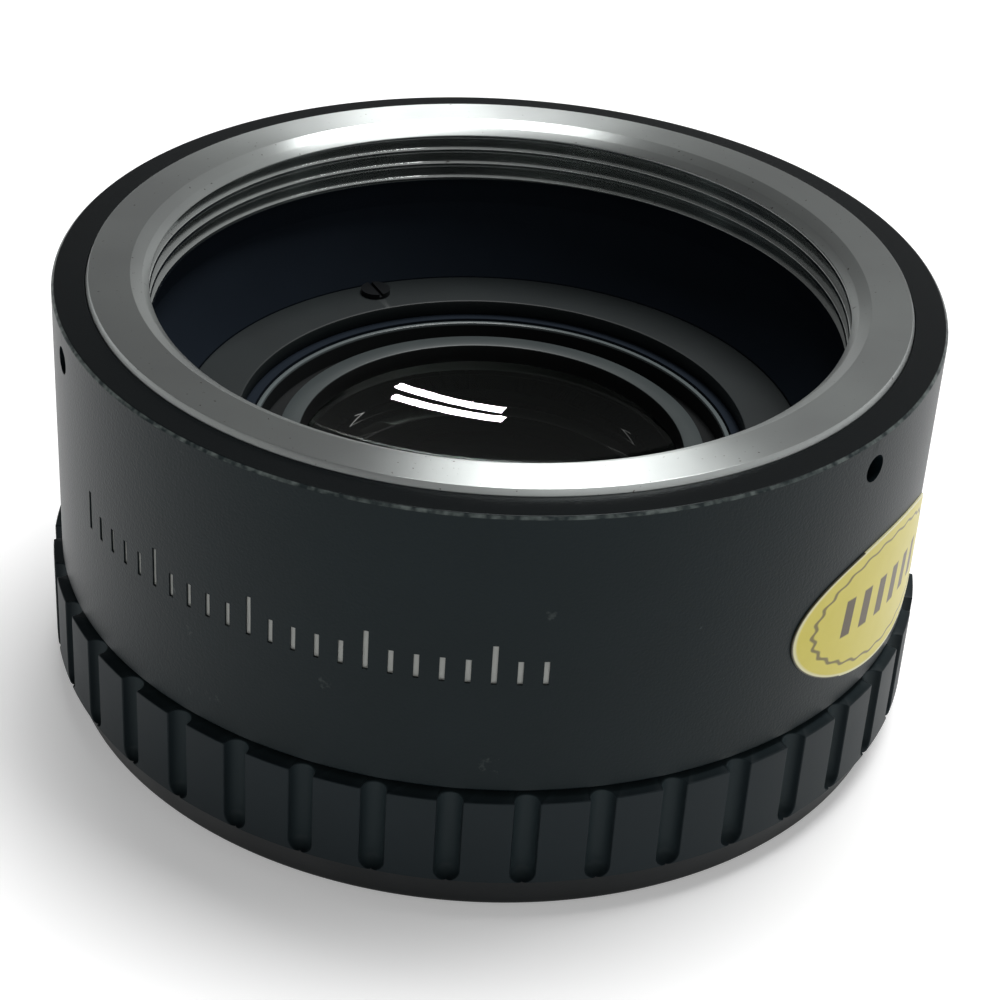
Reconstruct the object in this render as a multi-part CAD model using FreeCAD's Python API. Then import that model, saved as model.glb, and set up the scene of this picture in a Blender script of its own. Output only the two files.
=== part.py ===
"""A screw-mount teleconverter, standing on its screwed-on rear cap.

The frame is in millimetres with Z up. The origin is the centre of the cap's
flat underside, and Z is the optical axis. From the bottom up the stack is:
the moulded cap, the rear mount flange, the barrel with the housing in it,
and the bright front mount ring with its thread. The lens block hangs in the
housing's web. Threads are left as plain cylinders at their working size.
"""
import FreeCAD, Part
import math
import os

# Front and rear screw thread, a metric fine thread of 42 mm
thread_major_d = 42.0
thread_pitch = 1.0
thread_depth_ratio = 0.5413
male_allowance = 0.05

# Running and seating clearances, all on the radius
sleeve_clearance = 0.05
lip_clearance = 0.05
cell_clearance = 0.05
seat_clearance = 0.05
screw_clearance = 0.05
cap_clearance = 0.08

# Rear cap
cap_overhang = 0.55
cap_height = 8.0
cap_floor = 1.6
cap_seat_width = 1.65
cap_core_floor = 2.4
cap_flute_backing = 1.32
cap_mouth_chamfer = 0.3
flat_foot_z = 2.45
rim_step = 0.3
rim_taper = 0.65
base_round = 0.6

# Flutes round the cap
flute_count = 40
flute_width = 1.38
flute_depth = 0.83
flute_start_angle = -2.135

# Barrel sleeve
barrel_length = 17.5
barrel_wall = 1.9
barrel_gap = 0.4
barrel_top_chamfer = 0.16
barrel_foot_chamfer = 0.12
barrel_lip_width = 0.9
barrel_lip_height = 0.9

# Engraved marks on the barrel
mark_count = 23
mark_pitch_angle = 3.0
mark_first_angle = -148.0
mark_width = 0.3
mark_depth = 0.15
mark_drop = 10.4
mark_height = 1.5
long_mark_height = 2.45
long_mark_every = 5

# Front mount ring
front_ring_wall = 3.05
front_ring_proud = 0.36
front_ring_seat_drop = 3.1
front_ring_edge = 0.15
dish_width = 0.68
dish_depth = 0.36
lead_in_width = 0.39
lead_in_depth = 0.45

# Radial grub screws
grub_count = 3
grub_first_angle = -37.7
grub_drop = 1.95
grub_r = 0.9
grub_reach = 0.5
grub_length = 1.6
grub_slot_width = 0.3
grub_slot_depth = 0.4

# Inner housing
housing_mouth_gap = 0.2
housing_mouth_depth = 2.4
housing_relief = 1.45
housing_top_land = 2.5
housing_foot_land = 3.5
web_thickness = 3.8

# Front plate and its screws
plate_drop = 9.9
plate_thickness = 1.0
plate_opening_gap = 0.65
plate_width = 3.45
plate_edge_gap = 0.05
plate_screw_count = 3
plate_screw_first_angle = 118.0
plate_screw_inset = 1.25
plate_screw_head_r = 0.95
plate_screw_head_height = 0.35
plate_screw_r = 0.5
plate_screw_reach = 2.0
plate_screw_slot_width = 0.25
plate_screw_slot_depth = 0.2

# Lens cell
cell_wall = 1.7
cell_sink = 0.1
cell_lip_width = 0.35
cell_groove_depth = 1.3
cell_flange_width = 2.25
cell_flange_thickness = 0.8
lock_ring_width = 1.6
lock_ring_thickness = 0.6

# Optical stack, from the front to the rear
element_r = 13.0
front_retainer_sink = 0.2
front_retainer_height = 2.3
front_retainer_face_width = 1.0
front_retainer_bevel_width = 0.7
front_retainer_bevel_height = 1.4
cell_shoulder_thickness = 0.7
cell_shoulder_width = 2.05
spacer_thickness = 0.5
spacer_width = 1.8
rear_retainer_height = 0.9
rear_retainer_width = 1.6
rear_retainer_bevel = 0.4
spanner_slot_width = 1.2
spanner_slot_depth = 0.4
element_1_edge = 2.0
element_1_front_curve = 120.0
element_1_rear_curve = 40.0
element_2_edge = 1.0
element_2_front_curve = 36.0
cement_curve = 60.0
element_3_edge = 2.6
element_3_rear_curve = 150.0
element_4_edge = 1.0
element_4_front_curve = 140.0
element_4_rear_curve = 60.0

# Rear mount
flange_thickness = 1.8
flange_edge_gap = 0.1
neck_length = 4.6
neck_wall = 2.35
neck_chamfer = 0.3
baffle_seat_height = 0.8
baffle_seat_width = 0.55
baffle_thickness = 0.6
baffle_cell_gap = 0.1

# Rear mount screws
flange_screw_count = 4
flange_screw_first_angle = 45.0
flange_screw_inset = 1.35
flange_screw_head_r = 1.2
flange_screw_head_height = 0.6
flange_screw_r = 0.7
flange_screw_recess = 0.15
flange_screw_reach = 2.6
flange_screw_slot_width = 0.3
flange_screw_slot_depth = 0.25

# Oval inspection sticker wrapped on the barrel
sticker_half_length = 9.65
sticker_half_height = 4.46
sticker_thickness = 0.1
sticker_angle = -28.35
sticker_drop = 11.95
sticker_tilt = 6.25

# How far a cutting tool runs past the surface that it cuts
overrun = 1.0

# Worked out radii
thread_major_r = thread_major_d / 2
thread_minor_r = thread_major_r - thread_depth_ratio * thread_pitch
neck_r = thread_major_r - male_allowance
neck_bore_r = neck_r - neck_wall
sleeve_r = thread_major_r + front_ring_wall
barrel_bore_r = sleeve_r + sleeve_clearance
barrel_r = barrel_bore_r + barrel_wall
cap_r = barrel_r + cap_overhang
barrel_lip_r = barrel_bore_r - barrel_lip_width
flange_step_r = barrel_lip_r - lip_clearance
flange_r = barrel_bore_r - flange_edge_gap
flange_screw_circle_r = neck_r + flange_screw_inset
cell_bore_r = element_r + seat_clearance
cell_shoulder_bore_r = cell_bore_r - cell_shoulder_width
cell_r = cell_bore_r + cell_wall
cell_flange_r = cell_r + cell_flange_width
web_bore_r = cell_r + cell_clearance
lock_bore_r = cell_flange_r + cell_clearance
lock_ring_r = lock_bore_r - seat_clearance
plate_opening_r = cell_r + plate_opening_gap
plate_r = plate_opening_r + plate_width
plate_screw_circle_r = plate_r - plate_screw_inset
housing_wall_r = plate_r + plate_edge_gap
housing_mouth_r = thread_major_r + housing_mouth_gap
front_retainer_face_r = element_r - front_retainer_face_width
front_retainer_bore_r = front_retainer_face_r - front_retainer_bevel_width
spacer_bore_r = element_r - spacer_width
rear_retainer_bore_r = element_r - rear_retainer_width
flute_r = (flute_width**2 / 4 + flute_depth**2) / (2 * flute_depth)

# Worked out heights
barrel_foot_z = cap_height + barrel_gap
rim_z = barrel_foot_z + barrel_length
face_z = rim_z + front_ring_proud
front_seat_z = rim_z - front_ring_seat_drop
flange_foot_z = cap_height
housing_foot_z = flange_foot_z + flange_thickness
lip_foot_z = housing_foot_z - barrel_lip_height
neck_foot_z = cap_height - neck_length
plate_top_z = rim_z - plate_drop
web_top_z = plate_top_z - plate_thickness
web_foot_z = web_top_z - web_thickness
cell_top_z = web_top_z - cell_sink
cell_groove_z = cell_top_z - cell_groove_depth
front_retainer_top_z = cell_top_z - front_retainer_sink
element_1_top_z = front_retainer_top_z - front_retainer_height
element_1_foot_z = element_1_top_z - element_1_edge
element_2_top_z = element_1_foot_z - cell_shoulder_thickness
cement_z = element_2_top_z - element_2_edge
element_3_foot_z = cement_z - element_3_edge
element_4_top_z = element_3_foot_z - spacer_thickness
element_4_foot_z = element_4_top_z - element_4_edge
cell_foot_z = element_4_foot_z - rear_retainer_height

CENTRE = FreeCAD.Vector(0, 0, 0)
UP = FreeCAD.Vector(0, 0, 1)
OUT = FreeCAD.Vector(1, 0, 0)
FULL_TURN = 360.0


def at(radius, height):
    """The point at a radius and a height in the XZ half plane."""
    return FreeCAD.Vector(radius, 0, height)


def turned(corners):
    """Revolve a closed outline of (radius, height) corners about Z."""
    points = [at(radius, height) for radius, height in corners]
    outline = Part.makePolygon(points + points[:1])
    return Part.Face(outline).revolve(CENTRE, UP, FULL_TURN)


def ring(inner_r, outer_r, foot_z, top_z):
    """A plain square-edged ring about Z."""
    return turned([(inner_r, foot_z), (outer_r, foot_z), (outer_r, top_z), (inner_r, top_z)])


def spun(shape, angle):
    """A copy of a shape, turned about Z by an angle in degrees."""
    copy = shape.copy()
    copy.rotate(CENTRE, UP, angle)
    return copy


def around(shape, count, first_angle):
    """Copies of a shape, evenly spaced about Z."""
    return [spun(shape, first_angle + FULL_TURN * i / count) for i in range(count)]


def cut_all(body, tools):
    """Cut a list of tools from a body in one step."""
    return body.cut(Part.makeCompound(tools))


def sag(curve, radius):
    """Depth of a sphere of radius |curve| at a radius from its pole, with the curve's sign."""
    depth = abs(curve) - math.sqrt(curve**2 - radius**2)
    return math.copysign(depth, curve)


def lens(top, foot):
    """A glass element. Each face is (curve, land radius, height at the land); + bulges up."""

    def point(face, radius):
        curve, land_r, land_z = face
        return at(radius, land_z + sag(curve, land_r) - sag(curve, radius))

    def half_arc(face):
        middle = face[1] / 2
        return Part.Arc(point(face, 0), point(face, middle), point(face, face[1])).toShape()

    corners = [point(top, top[1])]
    if top[1] < element_r:
        corners.append(at(element_r, top[2]))
    corners.append(at(element_r, foot[2]))
    if foot[1] < element_r:
        corners.append(point(foot, foot[1]))
    axis = Part.makeLine(point(foot, 0), point(top, 0))
    edge = Part.makePolygon(corners)
    wire = Part.Wire([axis, half_arc(top)] + edge.Edges + [half_arc(foot)])
    return Part.Face(wire).revolve(CENTRE, UP, FULL_TURN)


def flute_tool():
    """A round-nosed cutter standing at the cap's edge at angle zero."""
    axis_r = cap_r - flute_depth + flute_r
    nose_z = flat_foot_z + flute_r
    top_z = cap_height + overrun
    tip = at(0, nose_z - flute_r)
    flank = at(flute_r * math.sin(math.pi / 4), nose_z - flute_r * math.cos(math.pi / 4))
    side = at(flute_r, nose_z)
    nose = Part.Arc(tip, flank, side).toShape()
    shank = Part.makePolygon([side, at(flute_r, top_z), at(0, top_z), tip])
    wire = Part.Wire([nose] + shank.Edges)
    tool = Part.Face(wire).revolve(CENTRE, UP, FULL_TURN)
    tool.translate(OUT * axis_r)
    return tool


def rear_cap():
    """The moulded cap: fluted wall, cored groove, seat ring and the well for the neck."""
    bore_r = neck_r + cap_clearance
    seat_r = bore_r + cap_seat_width
    core_r = cap_r - flute_depth - cap_flute_backing
    rim_r = cap_r - rim_step
    body = turned([
        (0, 0),
        (rim_r - rim_taper, 0),
        (rim_r, flat_foot_z),
        (cap_r, flat_foot_z),
        (cap_r, cap_height),
        (core_r, cap_height),
        (core_r, cap_core_floor),
        (seat_r, cap_core_floor),
        (seat_r, cap_height),
        (bore_r + cap_mouth_chamfer, cap_height),
        (bore_r, cap_height - cap_mouth_chamfer),
        (bore_r, cap_floor),
        (0, cap_floor),
    ])
    base_edges = [e for e in body.Edges if e.BoundBox.ZMax < base_round / 2 and len(e.Vertexes) == 1]
    body = body.makeFillet(base_round, base_edges)
    return cut_all(body, around(flute_tool(), flute_count, flute_start_angle))


def rear_mount():
    """The rear flange that clamps the barrel's lip, with the male mount neck below it."""
    seat_r = neck_bore_r + baffle_seat_width
    seat_z = neck_foot_z + baffle_seat_height
    body = turned([
        (seat_r, neck_foot_z),
        (neck_r - neck_chamfer, neck_foot_z),
        (neck_r, neck_foot_z + neck_chamfer),
        (neck_r, flange_foot_z),
        (flange_r, flange_foot_z),
        (flange_r, lip_foot_z),
        (flange_step_r, lip_foot_z),
        (flange_step_r, housing_foot_z),
        (neck_bore_r, housing_foot_z),
        (neck_bore_r, seat_z),
        (seat_r, seat_z),
    ])
    head_z = flange_foot_z + flange_screw_recess
    head_r = flange_screw_head_r + screw_clearance
    shank_r = flange_screw_r + screw_clearance
    hole = turned([
        (0, flange_foot_z - overrun),
        (head_r, flange_foot_z - overrun),
        (head_r, head_z),
        (shank_r, head_z + flange_screw_head_height),
        (shank_r, housing_foot_z + overrun),
        (0, housing_foot_z + overrun),
    ])
    hole.translate(OUT * flange_screw_circle_r)
    return cut_all(body, around(hole, flange_screw_count, flange_screw_first_angle))


def flange_screws():
    """Countersunk slotted screws that hold the rear mount to the housing."""
    head_z = flange_foot_z + flange_screw_recess
    screw = turned([
        (0, head_z),
        (flange_screw_head_r, head_z),
        (flange_screw_r, head_z + flange_screw_head_height),
        (flange_screw_r, housing_foot_z + flange_screw_reach),
        (0, housing_foot_z + flange_screw_reach),
    ])
    slot = Part.makeBox(
        2 * flange_screw_head_r,
        flange_screw_slot_width,
        flange_screw_slot_depth,
        FreeCAD.Vector(-flange_screw_head_r, -flange_screw_slot_width / 2, head_z),
    )
    screw = screw.cut(slot)
    screw.translate(OUT * flange_screw_circle_r)
    return around(screw, flange_screw_count, flange_screw_first_angle)


def rear_baffle():
    """The thin ring that closes the gap between the neck and the lens cell."""
    inner_r = cell_r + baffle_cell_gap
    outer_r = neck_bore_r + baffle_seat_width - seat_clearance
    top_z = neck_foot_z + baffle_seat_height
    return ring(inner_r, outer_r, top_z - baffle_thickness, top_z)


def outer_barrel():
    """The turned sleeve with its inner lip, grub screw holes and engraved marks."""
    body = turned([
        (barrel_bore_r, barrel_foot_z),
        (barrel_r - barrel_foot_chamfer, barrel_foot_z),
        (barrel_r, barrel_foot_z + barrel_foot_chamfer),
        (barrel_r, rim_z - barrel_top_chamfer),
        (barrel_r - barrel_top_chamfer, rim_z),
        (barrel_bore_r, rim_z),
        (barrel_bore_r, housing_foot_z),
        (barrel_lip_r, housing_foot_z),
        (barrel_lip_r, lip_foot_z),
        (barrel_bore_r, lip_foot_z),
    ])
    start = FreeCAD.Vector(barrel_bore_r - overrun, 0, rim_z - grub_drop)
    hole = Part.makeCylinder(grub_r + screw_clearance, barrel_wall + 2 * overrun, start, OUT)
    tools = around(hole, grub_count, grub_first_angle)
    for i in range(mark_count):
        height = long_mark_height if i % long_mark_every == 0 else mark_height
        corner = FreeCAD.Vector(barrel_r - mark_depth, -mark_width / 2, rim_z - mark_drop)
        mark = Part.makeBox(mark_depth + overrun, mark_width, height, corner)
        tools.append(spun(mark, mark_first_angle + i * mark_pitch_angle))
    return cut_all(body, tools)


def front_mount_ring():
    """The bright ring: outer edge, flat face, dished step, lead-in and the thread's bore."""
    dish_foot_r = thread_minor_r + lead_in_width
    dish_foot_z = face_z - dish_depth
    body = turned([
        (thread_minor_r, front_seat_z),
        (sleeve_r, front_seat_z),
        (sleeve_r, rim_z),
        (sleeve_r - front_ring_edge, face_z),
        (dish_foot_r + dish_width, face_z),
        (dish_foot_r, dish_foot_z),
        (thread_minor_r, dish_foot_z - lead_in_depth),
    ])
    start = FreeCAD.Vector(sleeve_r - grub_reach, 0, rim_z - grub_drop)
    dimple = Part.makeCylinder(grub_r + screw_clearance, grub_reach + overrun, start, OUT)
    return cut_all(body, around(dimple, grub_count, grub_first_angle))


def grub_screws():
    """Slotted grub screws through the barrel that hold the front mount ring."""
    start = FreeCAD.Vector(sleeve_r - grub_reach, 0, rim_z - grub_drop)
    screw = Part.makeCylinder(grub_r, grub_length, start, OUT)
    slot_corner = start + FreeCAD.Vector(grub_length - grub_slot_depth, -grub_r, -grub_slot_width / 2)
    slot = Part.makeBox(grub_slot_depth, 2 * grub_r, grub_slot_width, slot_corner)
    return around(screw.cut(slot), grub_count, grub_first_angle)


def inner_housing():
    """The dark housing: flared light trap, web for the lens cell and the foot for the flange."""
    relief_r = sleeve_r - housing_relief
    body = turned([
        (lock_bore_r, housing_foot_z),
        (sleeve_r, housing_foot_z),
        (sleeve_r, housing_foot_z + housing_foot_land),
        (relief_r, housing_foot_z + housing_foot_land),
        (relief_r, front_seat_z - housing_top_land),
        (sleeve_r, front_seat_z - housing_top_land),
        (sleeve_r, front_seat_z),
        (housing_mouth_r, front_seat_z),
        (housing_mouth_r, front_seat_z - housing_mouth_depth),
        (housing_wall_r, plate_top_z),
        (housing_wall_r, web_top_z),
        (web_bore_r, web_top_z),
        (web_bore_r, web_foot_z),
        (lock_bore_r, web_foot_z),
    ])
    flange_start = at(flange_screw_circle_r, housing_foot_z - overrun)
    flange_reach = flange_screw_reach + screw_clearance + overrun
    flange_hole = Part.makeCylinder(flange_screw_r + screw_clearance, flange_reach, flange_start, UP)
    plate_start = at(plate_screw_circle_r, web_top_z - plate_screw_reach - screw_clearance)
    plate_reach = plate_screw_reach + screw_clearance + plate_thickness
    plate_hole = Part.makeCylinder(plate_screw_r + screw_clearance, plate_reach, plate_start, UP)
    tools = around(flange_hole, flange_screw_count, flange_screw_first_angle)
    tools += around(plate_hole, plate_screw_count, plate_screw_first_angle)
    return cut_all(body, tools)


def front_plate():
    """The flat dark plate round the front of the lens cell."""
    body = ring(plate_opening_r, plate_r, web_top_z, plate_top_z)
    start = at(plate_screw_circle_r, web_top_z - overrun)
    hole = Part.makeCylinder(plate_screw_r + screw_clearance, plate_thickness + 2 * overrun, start, UP)
    return cut_all(body, around(hole, plate_screw_count, plate_screw_first_angle))


def plate_screws():
    """Slotted screws that hold the front plate on the housing's web."""
    head_top_z = plate_top_z + plate_screw_head_height
    screw = turned([
        (0, web_top_z - plate_screw_reach),
        (plate_screw_r, web_top_z - plate_screw_reach),
        (plate_screw_r, plate_top_z),
        (plate_screw_head_r, plate_top_z),
        (plate_screw_head_r, head_top_z),
        (0, head_top_z),
    ])
    slot = Part.makeBox(
        2 * plate_screw_head_r,
        plate_screw_slot_width,
        plate_screw_slot_depth,
        FreeCAD.Vector(
            -plate_screw_head_r, -plate_screw_slot_width / 2, head_top_z - plate_screw_slot_depth
        ),
    )
    screw = screw.cut(slot)
    screw.translate(OUT * plate_screw_circle_r)
    return around(screw, plate_screw_count, plate_screw_first_angle)


def lens_cell():
    """The lens block's tube: front lip and groove, mounting flange and the inner shoulder."""
    flange_foot = web_foot_z - cell_flange_thickness
    return turned([
        (cell_bore_r, cell_foot_z),
        (cell_r, cell_foot_z),
        (cell_r, flange_foot),
        (cell_flange_r, flange_foot),
        (cell_flange_r, web_foot_z),
        (cell_r, web_foot_z),
        (cell_r, cell_top_z),
        (cell_r - cell_lip_width, cell_top_z),
        (cell_r - cell_lip_width, cell_groove_z),
        (cell_bore_r, cell_groove_z),
        (cell_bore_r, element_1_foot_z),
        (cell_shoulder_bore_r, element_1_foot_z),
        (cell_shoulder_bore_r, element_2_top_z),
        (cell_bore_r, element_2_top_z),
    ])


def cell_lock_ring():
    """The threaded ring that clamps the lens cell's flange against the web."""
    top_z = web_foot_z - cell_flange_thickness
    return ring(lock_ring_r - lock_ring_width, lock_ring_r, top_z - lock_ring_thickness, top_z)


def front_retaining_ring():
    """The ring that holds the first element, with a bevelled inner edge."""
    return turned([
        (front_retainer_bore_r, element_1_top_z),
        (element_r, element_1_top_z),
        (element_r, front_retainer_top_z),
        (front_retainer_face_r, front_retainer_top_z),
        (front_retainer_bore_r, front_retainer_top_z - front_retainer_bevel_height),
    ])


def rear_retaining_ring():
    """The ring that holds the rear elements, with two spanner slots."""
    body = turned([
        (rear_retainer_bore_r + rear_retainer_bevel, cell_foot_z),
        (element_r, cell_foot_z),
        (element_r, element_4_foot_z),
        (rear_retainer_bore_r, element_4_foot_z),
        (rear_retainer_bore_r, cell_foot_z + rear_retainer_bevel),
    ])
    corner = FreeCAD.Vector(-element_r, -spanner_slot_width / 2, cell_foot_z)
    slots = Part.makeBox(2 * element_r, spanner_slot_width, spanner_slot_depth, corner)
    return body.cut(slots)


def lens_elements():
    """Four glass elements: a front meniscus, a cemented pair and a rear element."""
    cement = (-cement_curve, element_r, cement_z)
    first = lens(
        (element_1_front_curve, front_retainer_bore_r, element_1_top_z),
        (element_1_rear_curve, cell_shoulder_bore_r, element_1_foot_z),
    )
    second = lens((element_2_front_curve, cell_shoulder_bore_r, element_2_top_z), cement)
    third = lens(cement, (element_3_rear_curve, spacer_bore_r, element_3_foot_z))
    fourth = lens(
        (-element_4_front_curve, spacer_bore_r, element_4_top_z),
        (-element_4_rear_curve, rear_retainer_bore_r, element_4_foot_z),
    )
    return [first, second, third, fourth]


def inspection_sticker():
    """A thin oval sticker that follows the barrel's curve."""
    half_chord = barrel_r * math.sin(sticker_half_length / barrel_r)
    tilt = math.radians(sticker_tilt)
    start_x = barrel_r / 2
    middle = FreeCAD.Vector(start_x, 0, 0)
    long_end = FreeCAD.Vector(start_x, half_chord * math.cos(tilt), -half_chord * math.sin(tilt))
    short_end = FreeCAD.Vector(
        start_x, sticker_half_height * math.sin(tilt), sticker_half_height * math.cos(tilt)
    )
    oval = Part.Wire(Part.Ellipse(long_end, short_end, middle).toShape())
    prism = Part.Face(oval).extrude(OUT * barrel_r)
    prism.translate(UP * (rim_z - sticker_drop))
    shell = ring(barrel_r, barrel_r + sticker_thickness, barrel_foot_z, rim_z)
    return shell.common(spun(prism, sticker_angle))


def numbered(name, shapes):
    """Name a list of like solids name_1, name_2 and so on."""
    return {f"{name}_{i + 1}": shape for i, shape in enumerate(shapes)}


def main():
    """Build each piece and write one STEP file for each."""
    parts = {
        "rear_cap": rear_cap(),
        "rear_mount": rear_mount(),
        "rear_baffle": rear_baffle(),
        "outer_barrel": outer_barrel(),
        "front_mount_ring": front_mount_ring(),
        "inner_housing": inner_housing(),
        "front_plate": front_plate(),
        "lens_cell": lens_cell(),
        "cell_lock_ring": cell_lock_ring(),
        "front_retaining_ring": front_retaining_ring(),
        "rear_retaining_ring": rear_retaining_ring(),
        "lens_spacer": ring(spacer_bore_r, element_r, element_4_top_z, element_3_foot_z),
        "inspection_sticker": inspection_sticker(),
    }
    parts.update(numbered("flange_screw", flange_screws()))
    parts.update(numbered("grub_screw", grub_screws()))
    parts.update(numbered("plate_screw", plate_screws()))
    parts.update(numbered("lens_element", lens_elements()))
    os.makedirs("parts", exist_ok=True)
    for name, shape in parts.items():
        shape.exportStep(f"parts/{name}.step")
        solids = len(shape.Solids)
        print(f"{name}: {solids} solid, valid {shape.isValid()}, {shape.Volume:.1f} mm3")


main()
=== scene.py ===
# %% [markdown]
# # A teleconverter that stands on its rear cap
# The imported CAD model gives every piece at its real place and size. This
# script dresses it: it turns the pieces whose edges and threads need more
# detail than the solids hold, and gives each surface its finish. All lengths
# are in metres, and MM turns a size in millimetres into metres.

# %% Load the frame
import math

import bmesh
import bpy
from mathutils import Matrix, Vector, noise


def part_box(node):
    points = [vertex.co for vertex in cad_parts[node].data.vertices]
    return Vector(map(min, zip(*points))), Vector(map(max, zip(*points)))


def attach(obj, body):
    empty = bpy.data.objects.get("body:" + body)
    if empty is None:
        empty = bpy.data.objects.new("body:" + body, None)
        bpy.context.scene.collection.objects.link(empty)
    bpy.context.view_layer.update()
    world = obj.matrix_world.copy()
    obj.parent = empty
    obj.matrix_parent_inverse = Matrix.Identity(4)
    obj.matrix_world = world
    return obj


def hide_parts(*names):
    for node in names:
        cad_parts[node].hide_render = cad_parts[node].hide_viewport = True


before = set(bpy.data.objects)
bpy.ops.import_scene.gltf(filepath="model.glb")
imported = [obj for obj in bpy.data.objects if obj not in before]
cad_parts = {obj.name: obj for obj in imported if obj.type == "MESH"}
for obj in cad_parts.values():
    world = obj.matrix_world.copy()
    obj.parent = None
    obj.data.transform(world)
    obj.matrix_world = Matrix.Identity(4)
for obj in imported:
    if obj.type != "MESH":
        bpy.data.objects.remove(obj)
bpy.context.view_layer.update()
bpy.context.scene.view_settings.view_transform = "Standard"
MM = 0.001
print("CAD nodes:", len(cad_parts))

# %% [markdown]
# ## Heights and radii that the CAD model gives
# A round node's box gives its outer radius and its two ends, so the new
# pieces take those from the frame and nothing has to be fitted by eye.


# %% Read the frame's levels
def span(node):
    """Outer radius, foot height and top height of a round CAD node."""
    low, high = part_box(node)
    return high.x, low.z, high.z


barrel_r, barrel_foot, rim_z = span("outer_barrel")
ring_r, ring_foot, face_z = span("front_mount_ring")
cap_r, floor_z, cap_top = span("rear_cap")
flange_r, neck_foot, flange_top = span("rear_mount")
_, housing_foot, _ = span("inner_housing")
plate_r, plate_foot, plate_top = span("front_plate")
retainer_r, retainer_foot, retainer_top = span("front_retaining_ring")
_, _, lock_top = span("cell_lock_ring")
cell_flange_r, cell_foot, cell_top = span("lens_cell")
print("rim height in mm:", round(rim_z / MM, 2))

# %% [markdown]
# ## The camera
# The picture was taken from about 27 degrees above the rim, with a long lens,
# and the camera was rolled a little. A camera's place and its three turns say
# all of that. The view's aim is written as a pan, a tilt and a roll away from
# a camera that looks straight at the middle of the rim.

# %% Camera
CAMERA_DISTANCE = 145.38 * MM
CAMERA_ELEVATION = math.radians(27.253)
CAMERA_PAN = math.radians(0.052)
CAMERA_TILT = math.radians(5.187)
CAMERA_ROLL = math.radians(3.661)
CAMERA_LENS_MM = 89.14
SENSOR_MM = 36.0
CAMERA_NEAR = 10 * MM

backwards = Vector((0, -math.cos(CAMERA_ELEVATION), math.sin(CAMERA_ELEVATION)))
upwards = Vector((0, math.sin(CAMERA_ELEVATION), math.cos(CAMERA_ELEVATION)))
aimed = Matrix((Vector((1, 0, 0)), upwards, backwards)).transposed()
turn = (
    Matrix.Rotation(-CAMERA_ROLL, 3, "Z").transposed()
    @ Matrix.Rotation(-CAMERA_PAN, 3, "Y").transposed()
    @ Matrix.Rotation(CAMERA_TILT, 3, "X").transposed()
)
camera = bpy.data.objects.new("camera", bpy.data.cameras.new("camera"))
bpy.context.scene.collection.objects.link(camera)
camera.data.lens = CAMERA_LENS_MM
camera.data.sensor_width = SENSOR_MM
camera.data.clip_start = CAMERA_NEAR
camera.matrix_world = (aimed @ turn).to_4x4()
camera.location = backwards * CAMERA_DISTANCE + Vector((0, 0, rim_z))
bpy.context.scene.camera = camera
print("camera at", [round(c, 4) for c in camera.location])

# %% [markdown]
# ## Helpers for meshes
# Most of this object was made on a lathe, so most pieces start as an outline
# in the XZ plane that is spun about Z. The sharp edges are then bevelled, as
# a turner breaks an edge with a file, because an edge of no width never
# catches the light. The last step weights the normals by face area, which
# keeps the broad faces flat in the shading and lets the small bevels round.

# %% Mesh helpers
SHARP = math.radians(42)
TURN_STEPS = 360
MERGE_DISTANCE = 0.0005 * MM


def placed(name, data):
    """A new object in the scene for a mesh or a lamp."""
    made = bpy.data.objects.new(name, data)
    bpy.context.scene.collection.objects.link(made)
    return made


def as_mesh(name, shape):
    """Turn a bmesh into a mesh."""
    mesh = bpy.data.meshes.new(name)
    shape.to_mesh(mesh)
    shape.free()
    return mesh


def extended(shape, loop):
    """Extrude a loop of edges on the spot; gives its new points and edges."""
    out = bmesh.ops.extrude_edge_only(shape, edges=loop)["geom"]
    fresh = {part for part in out if isinstance(part, bmesh.types.BMVert)}
    return fresh, [e for e in shape.edges if e.verts[0] in fresh and e.verts[1] in fresh]


def piece(name, shape, node, body="converter"):
    """Make a bmesh an object that stands for a CAD node and rides on its body."""
    mesh = as_mesh(name, shape)
    mesh.shade_smooth()
    mesh.set_sharp_from_angle(angle=SHARP)
    made = placed(name, mesh)
    weighted = made.modifiers.new("flat faces", "WEIGHTED_NORMAL")
    weighted.keep_sharp = True
    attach(made, body)
    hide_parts(node)
    print(name, "faces:", len(mesh.polygons))
    return made


def spun(outline, steps=TURN_STEPS, closed=True, rise=0.0):
    """Spin an outline of (radius, height) corners once about Z, climbing by rise."""
    shape = bmesh.new()
    corners = [shape.verts.new((radius, 0, height)) for radius, height in outline]
    ends = corners[1:] + corners[:1] if closed else corners[1:]
    sides = [shape.edges.new(pair) for pair in zip(corners, ends)]
    bmesh.ops.spin(
        shape,
        geom=corners + sides,
        cent=(0, 0, 0),
        axis=(0, 0, 1),
        dvec=(0, 0, rise / steps),
        angle=2 * math.pi,
        steps=steps,
        use_merge=rise == 0,
        use_duplicate=False,
    )
    bmesh.ops.remove_doubles(shape, verts=shape.verts[:], dist=MERGE_DISTANCE)
    bmesh.ops.recalc_face_normals(shape, faces=shape.faces[:])
    return shape


def soften(shape, width, above=0.35):
    """Break every edge that is sharper than an angle in radians."""
    sharp = [e for e in shape.edges if len(e.link_faces) == 2 and e.calc_face_angle() > above]
    bmesh.ops.bevel(
        shape,
        geom=sharp,
        offset=width,
        offset_type="OFFSET",
        segments=2,
        profile=0.5,
        affect="EDGES",
        material=-1,
        clamp_overlap=True,
    )
    return shape


def turned(name, node, outline, soft=0.06 * MM, body="converter"):
    """A lathe-turned piece with broken edges."""
    return piece(name, soften(spun(outline), soft), node, body)


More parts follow.
